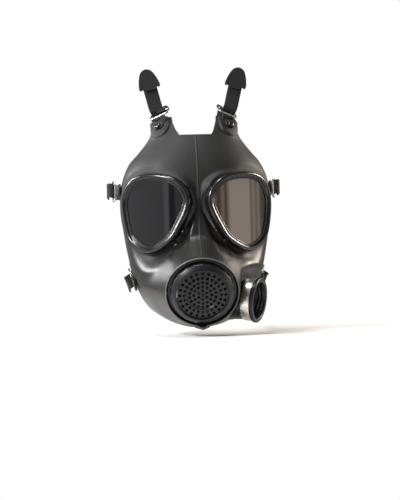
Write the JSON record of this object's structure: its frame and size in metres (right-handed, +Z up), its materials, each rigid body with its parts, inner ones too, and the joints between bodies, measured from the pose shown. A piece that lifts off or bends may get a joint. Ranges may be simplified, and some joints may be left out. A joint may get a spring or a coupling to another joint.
{
  "type": "gas mask style costume mask",
  "caption": "Black rubber full-face mask with two dark lenses, pierced front valve, side filter port with steel band, and a six-strap head harness with two standing strap tails.",
  "frame": {"origin": "middle of the wearer's head at the height of the eyes, where the mask sits on the head", "axes": "+Z up, the face looks along -Y, +X is the wearer's left, the side of the filter port"},
  "size_m": [0.1926, 0.2454, 0.278],
  "materials": {
    "rubber": "matt moulded black rubber with a soft sheen",
    "rim": "glossy black moulding with warm highlights",
    "lens": "dark tinted, mirror smooth",
    "valve": "satin dark grey moulding",
    "socket": "satin black moulding",
    "steel": "bright polished steel",
    "webbing": "cross ribbed black webbing",
    "tip": "satin black moulding",
    "stud": "glossy black",
    "pad": "plain black cloth over a thin pad"
  },
  "bodies": {
    "root": {"facepiece": "rubber", "eye_rim_left": "rim", "eye_rim_right": "rim", "lens_left": "lens", "lens_right": "lens", "valve_flange": "valve", "valve_cup": "valve", "valve_grille": "valve", "port_socket": "socket", "port_clamp_band": "steel", "top_tab_left": "rubber", "top_tab_right": "rubber", "top_buckle_left": "steel", "top_buckle_right": "steel", "top_strap_left": "webbing", "top_strap_right": "webbing", "temple_tab_left": "rubber", "temple_tab_right": "rubber", "temple_buckle_left": "steel", "temple_buckle_right": "steel", "temple_strap_left": "webbing", "temple_strap_right": "webbing", "jaw_tab_left": "rubber", "jaw_tab_right": "rubber", "jaw_buckle_left": "steel", "jaw_buckle_right": "steel", "jaw_strap_left": "webbing", "jaw_strap_right": "webbing", "top_stud_left": "stud", "top_stud_right": "stud", "top_tip_left": "tip", "top_tip_right": "tip", "head_pad": "pad"}
  },
  "joints": []
}
